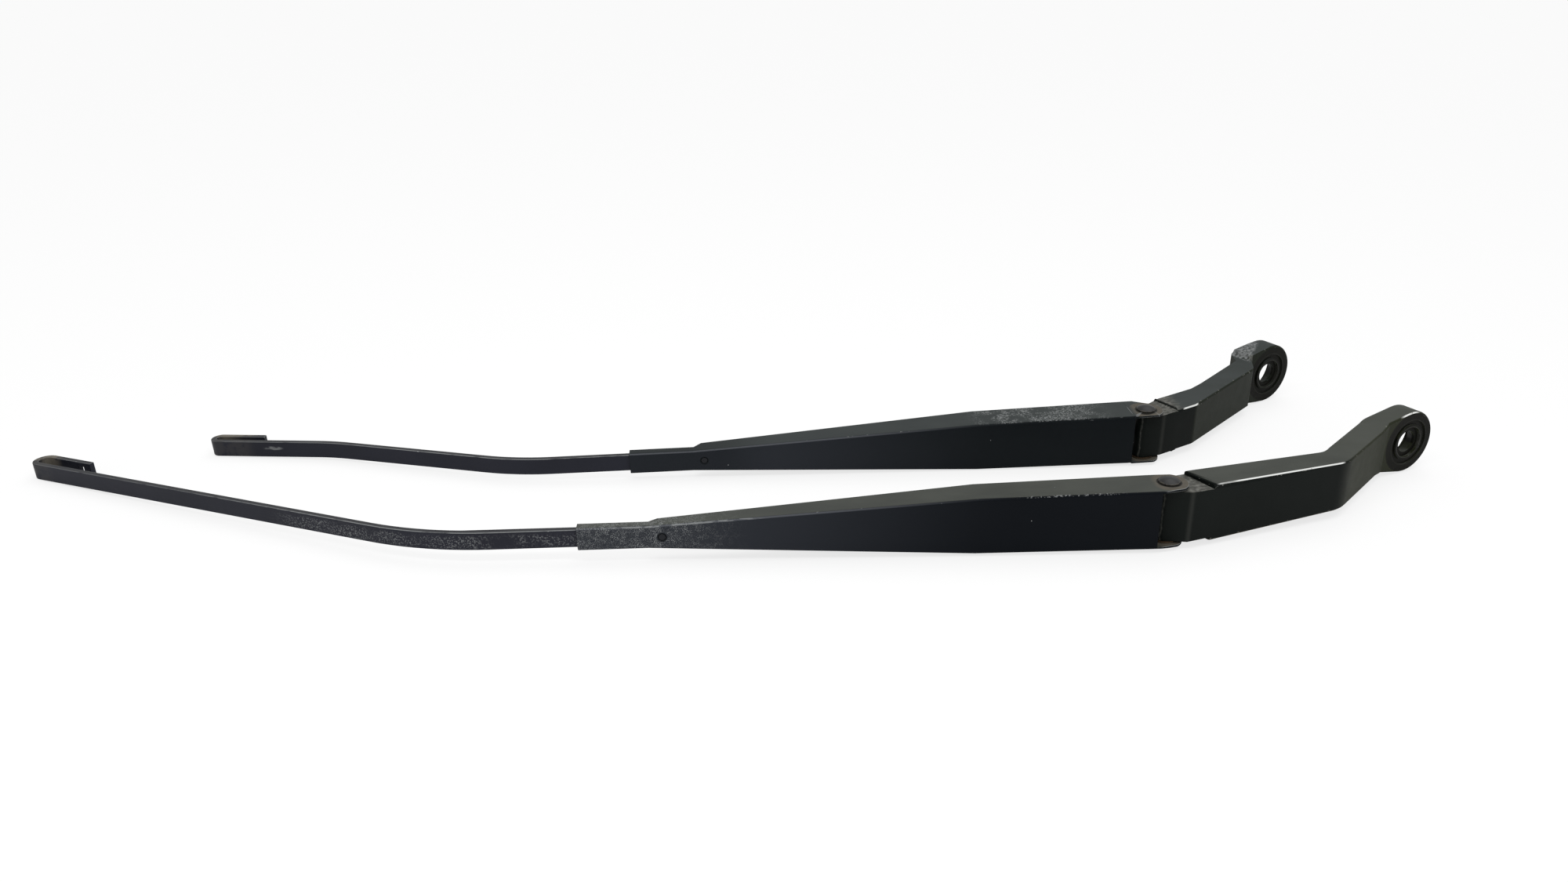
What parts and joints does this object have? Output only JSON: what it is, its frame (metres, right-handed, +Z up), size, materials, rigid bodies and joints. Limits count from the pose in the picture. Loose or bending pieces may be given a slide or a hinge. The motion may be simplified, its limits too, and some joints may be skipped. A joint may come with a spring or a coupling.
{
  "type": "windshield wiper arm pair",
  "caption": "A long and a short windshield wiper arm lying on their sides: cranked cast head, folding tapered channel, spring and link, and a flat strap with a J-hook for the blade.",
  "frame": {"origin": "on the surface that the arms lie on, under the middle of their common bounding box", "axes": "+X from the blade hooks towards the spindle bosses, +Y from the long arm towards the short arm, +Z up along the fold axes"},
  "size_m": [0.753, 0.2146, 0.0363],
  "materials": {
    "casting_paint": "black paint on die-cast aluminium, satin, with worn edges",
    "sheet_paint": "black paint on pressed steel, satin, with scratches and chips",
    "strap_paint": "blue-black paint on steel bar, semi-matt, with scratches",
    "rivet_paint": "black paint, satin",
    "washer_brown": "browned steel, dull",
    "zinc_plate": "dull zinc plate",
    "bush_bronze": "sintered bronze, matt",
    "spring_steel": "bare spring steel"
  },
  "bodies": {
    "long_mount_head": {"long_head": "casting_paint", "long_pivot_bush": "bush_bronze", "long_link_pin": "zinc_plate"},
    "long_folding_arm": {"long_channel": "sheet_paint", "long_strap": "strap_paint", "long_strap_rivet": "zinc_plate", "long_pivot_rivet": "rivet_paint", "long_upper_washer": "washer_brown", "long_lower_washer": "washer_brown", "long_spring_anchor": "zinc_plate"},
    "long_c_link": {"long_spring_link": "zinc_plate"},
    "long_tension_spring": {"long_spring": "spring_steel"},
    "short_mount_head": {"short_head": "casting_paint", "short_pivot_bush": "bush_bronze", "short_link_pin": "zinc_plate"},
    "short_folding_arm": {"short_channel": "sheet_paint", "short_strap": "strap_paint", "short_strap_rivet": "zinc_plate", "short_pivot_rivet": "rivet_paint", "short_upper_washer": "washer_brown", "short_lower_washer": "washer_brown", "short_spring_anchor": "zinc_plate"},
    "short_c_link": {"short_spring_link": "zinc_plate"},
    "short_tension_spring": {"short_spring": "spring_steel"}
  },
  "joints": [
    {"name": "long_fold", "type": "hinge", "parent": "long_mount_head", "child": "long_folding_arm", "pos_m": [0.20823, -0.08714, 0.01722], "axis": [-0.0181, 0.0279, 0.9994], "range_deg": [0, 65], "stiffness_Nm_per_rad": 0.5, "springref_deg": -60.16},
    {"name": "long_link_swing", "type": "hinge", "parent": "long_mount_head", "child": "long_c_link", "pos_m": [0.21341, -0.08158, 0.01716], "axis": [-0.0181, 0.0279, 0.9994], "range_deg": [0, 62]},
    {"name": "long_spring_swing", "type": "hinge", "parent": "long_folding_arm", "child": "long_tension_spring", "pos_m": [0.09638, -0.09307, 0.01536], "axis": [-0.0181, 0.0279, 0.9994], "range_deg": [-5, 0]},
    {"name": "short_arm_lift", "type": "slide", "parent": "long_mount_head", "child": "short_mount_head", "axis": [0, 0, 1], "range_m": [0, 0.19]},
    {"name": "short_fold", "type": "hinge", "parent": "short_mount_head", "child": "short_folding_arm", "pos_m": [0.22313, 0.00476, 0.01601], "axis": [-0.0223, -0.0004, 0.9998], "range_deg": [0, 65], "stiffness_Nm_per_rad": 0.5, "springref_deg": -60.16},
    {"name": "short_link_swing", "type": "hinge", "parent": "short_mount_head", "child": "short_c_link", "pos_m": [0.22815, 0.01047, 0.01613], "axis": [-0.0223, -0.0004, 0.9998], "range_deg": [0, 62]},
    {"name": "short_spring_swing", "type": "hinge", "parent": "short_folding_arm", "child": "short_tension_spring", "pos_m": [0.11132, -0.00137, 0.01352], "axis": [-0.0223, -0.0004, 0.9998], "range_deg": [-5, 0]}
  ],
  "couplings": [
    {"joint": "long_link_swing", "follows": "long_fold", "ratio": 0.9403},
    {"joint": "long_spring_swing", "follows": "long_fold", "ratio": -0.0597},
    {"joint": "short_link_swing", "follows": "short_fold", "ratio": 0.9405},
    {"joint": "short_spring_swing", "follows": "short_fold", "ratio": -0.0595},
    {"joint": "short_arm_lift", "follows": "short_fold", "m_per_rad": 0.16}
  ]
}
